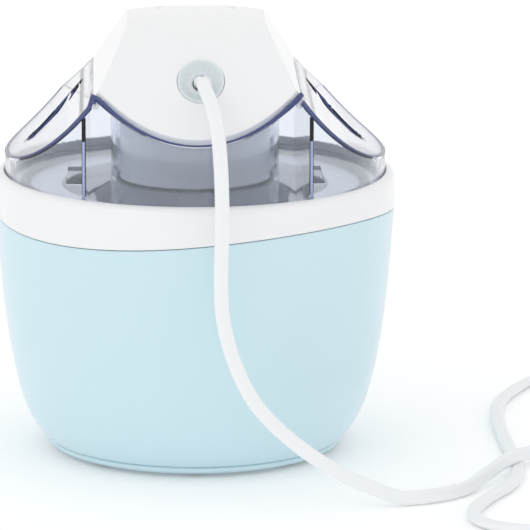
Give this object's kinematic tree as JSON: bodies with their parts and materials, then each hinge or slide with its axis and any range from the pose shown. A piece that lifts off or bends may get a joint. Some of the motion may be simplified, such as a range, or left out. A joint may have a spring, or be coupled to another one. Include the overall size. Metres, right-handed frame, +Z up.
{
  "type": "ice cream maker",
  "caption": "Counter-top ice cream maker with a freezer bowl, clear faceted lid, lift-off motor head and flat mains lead",
  "frame": {"origin": "on the counter, under the middle of the base", "axes": "+Z up, the rear with the mains lead faces -Y, +X is to the right seen from the rear"},
  "size_m": [0.3755, 0.3158, 0.2245],
  "materials": {
    "aqua_plastic": "satin-gloss moulded plastic",
    "white_plastic": "gloss moulded plastic",
    "clear_plastic": "clear polycarbonate",
    "bowl_metal": "satin",
    "coolant": "coolant gel",
    "rubber": "matt",
    "steel": "zinc plated",
    "brass": "plain",
    "nylon": "natural nylon",
    "white_vinyl": "soft PVC"
  },
  "bodies": {
    "base": {"base_shell": "aqua_plastic", "base_plate": "aqua_plastic", "base_screw_1": "steel", "base_screw_2": "steel", "base_screw_3": "steel", "base_screw_4": "steel", "foot_1": "rubber", "foot_2": "rubber", "foot_3": "rubber", "foot_4": "rubber", "top_ring": "white_plastic", "liner": "white_plastic", "power_cord_tail": "white_vinyl", "cord_coil": "white_vinyl", "cord_tie": "rubber", "plug_body": "white_vinyl", "plug_pin_1": "brass", "plug_pin_2": "brass"},
    "motor_unit": {"motor_housing": "white_plastic", "motor_cover": "white_plastic", "cover_screw_1": "steel", "cover_screw_2": "steel", "cover_screw_3": "steel", "cover_screw_4": "steel", "cord_gland": "white_plastic", "cord_clamp": "nylon", "wiring_block": "nylon", "power_switch": "nylon", "motor": "steel", "gear_plate": "steel", "idler_axle": "steel", "output_bush": "brass", "power_cord": "white_vinyl"},
    "lid": {"lid_hood": "clear_plastic", "lid_tray": "clear_plastic"},
    "bowl": {"bowl_outer": "bowl_metal", "bowl_coolant": "coolant", "bowl_inner": "bowl_metal", "bowl_rim": "white_plastic", "bowl_seal": "rubber"},
    "paddle": {"paddle": "white_plastic"},
    "output": {"output_gear": "nylon", "output_shaft": "steel"},
    "idler": {"idler_gear": "nylon"},
    "pinion": {"motor_pinion": "brass"},
    "button": {"power_button": "white_plastic"}
  },
  "joints": [
    {"name": "motor_unit_lift", "type": "slide", "parent": "base", "child": "motor_unit", "axis": [0, 0, 1], "range_m": [0, 0.24]},
    {"name": "lid_lift", "type": "slide", "parent": "base", "child": "lid", "axis": [0, 0, 1], "range_m": [0, 0.161]},
    {"name": "bowl_lift", "type": "slide", "parent": "base", "child": "bowl", "axis": [0, 0, 1], "range_m": [0, 0.126]},
    {"name": "paddle_spin", "type": "hinge", "parent": "bowl", "child": "paddle", "pos_m": [0, 0, 0.09], "axis": [0, 0, 1], "continuous": true},
    {"name": "output_spin", "type": "hinge", "parent": "motor_unit", "child": "output", "pos_m": [0, 0, 0.15], "axis": [0, 0, 1], "continuous": true},
    {"name": "idler_spin", "type": "hinge", "parent": "motor_unit", "child": "idler", "pos_m": [0.0168, 0, 0.158], "axis": [0, 0, 1], "continuous": true},
    {"name": "pinion_spin", "type": "hinge", "parent": "motor_unit", "child": "pinion", "pos_m": [0.00641, 0.006, 0.162], "axis": [0, 0, 1], "continuous": true},
    {"name": "button_press", "type": "slide", "parent": "motor_unit", "child": "button", "axis": [0, -0.6101, -0.7923], "range_m": [0, 0.0025], "stiffness_N_per_m": 300}
  ],
  "couplings": [
    {"joint": "lid_lift", "follows": "motor_unit_lift", "ratio": 0.66667},
    {"joint": "bowl_lift", "follows": "motor_unit_lift", "ratio": 0.52083},
    {"joint": "output_spin", "follows": "paddle_spin", "ratio": 1},
    {"joint": "idler_spin", "follows": "paddle_spin", "ratio": -3.6667},
    {"joint": "pinion_spin", "follows": "paddle_spin", "ratio": 8.5556}
  ]
}
